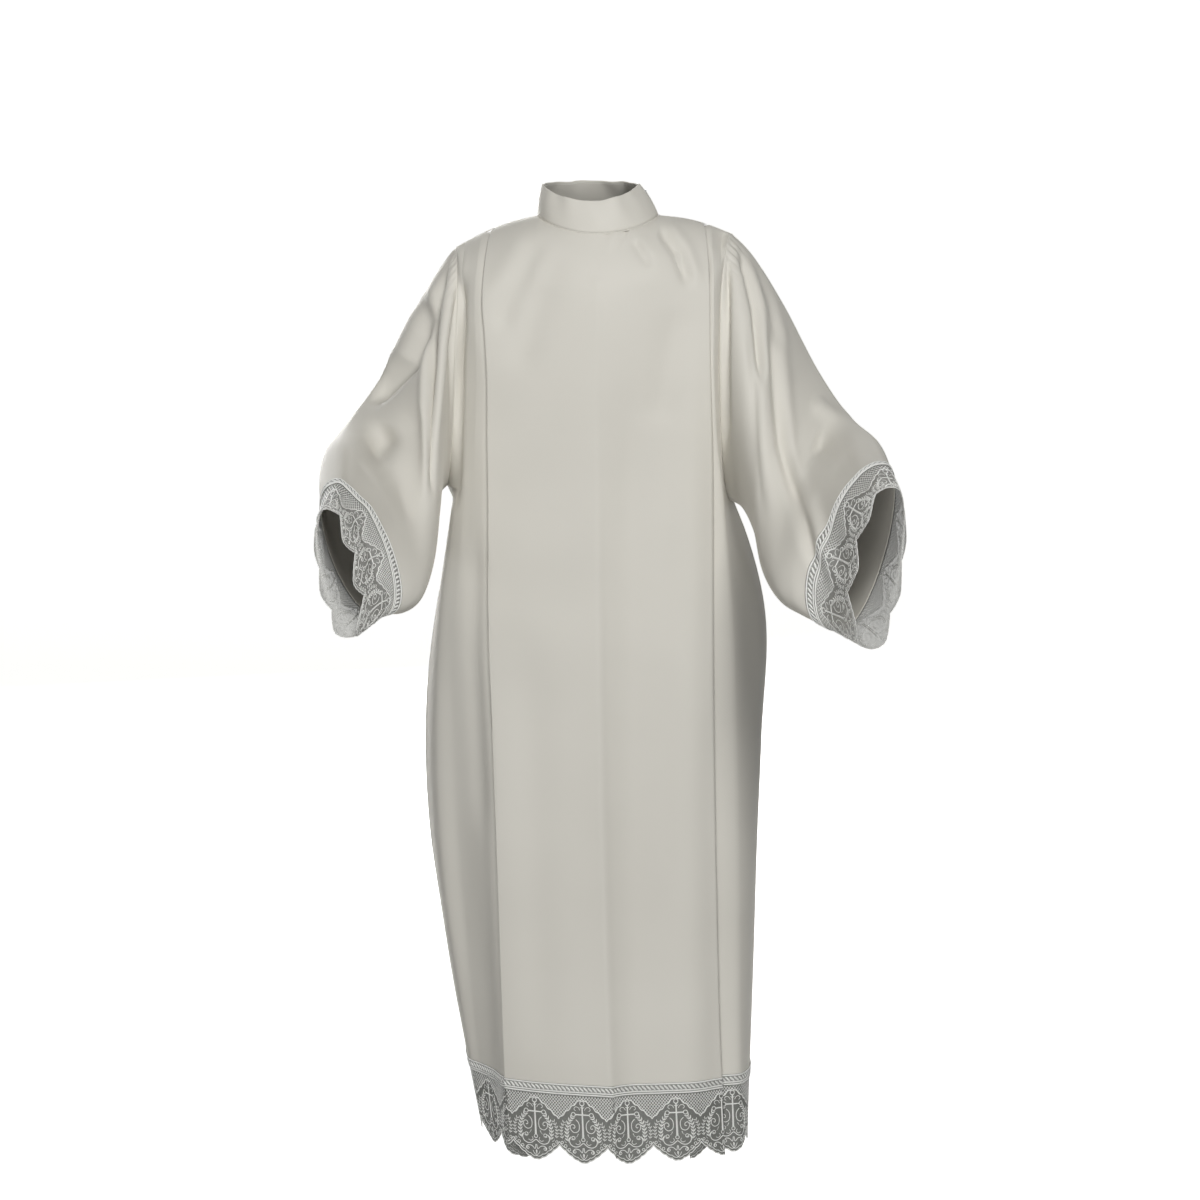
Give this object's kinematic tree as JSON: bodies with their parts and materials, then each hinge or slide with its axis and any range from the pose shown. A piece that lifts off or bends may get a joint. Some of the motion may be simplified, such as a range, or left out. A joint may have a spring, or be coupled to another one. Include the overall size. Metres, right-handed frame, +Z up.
{
  "type": "alb robe",
  "caption": "Long white alb in its worn form: stand-up collar that zips at the left shoulder, front panel between long pleats, wide sleeves, and scalloped lace at hem and cuffs.",
  "frame": {"origin": "middle of the wearer's neck at the height of the shoulder line, where the worn robe is held", "axes": "+Z up along the body, -Y the wearer's front, +X the wearer's left"},
  "size_m": [0.7825, 0.6083, 1.4006],
  "materials": {
    "satin": "soft satin-faced polyester, off white",
    "lace": "white embroidery on sheer tulle",
    "zip_tape": "woven tape",
    "zip_coil": "nylon coil",
    "nickel": "small nickel-plated castings"
  },
  "bodies": {
    "robe": {"body_front": "satin", "body_back": "satin", "sleeve_right": "satin", "sleeve_left": "satin", "collar": "satin", "hem_header_front": "lace", "hem_header_back": "lace", "hem_lace_front": "lace", "hem_lace_back": "lace", "cuff_header_right": "lace", "cuff_header_left": "lace", "cuff_lace_right": "lace", "cuff_lace_left": "lace", "zip_tape": "zip_tape", "zip_chain": "zip_coil", "zip_slider": "nickel"},
    "pull_tab": {"zip_pull": "nickel"}
  },
  "joints": [
    {"name": "pull_tab_hinge", "type": "hinge", "parent": "robe", "child": "pull_tab", "pos_m": [0.0677, 0, 0.0439], "axis": [0, -1, 0], "range_deg": [0, 170]}
  ]
}
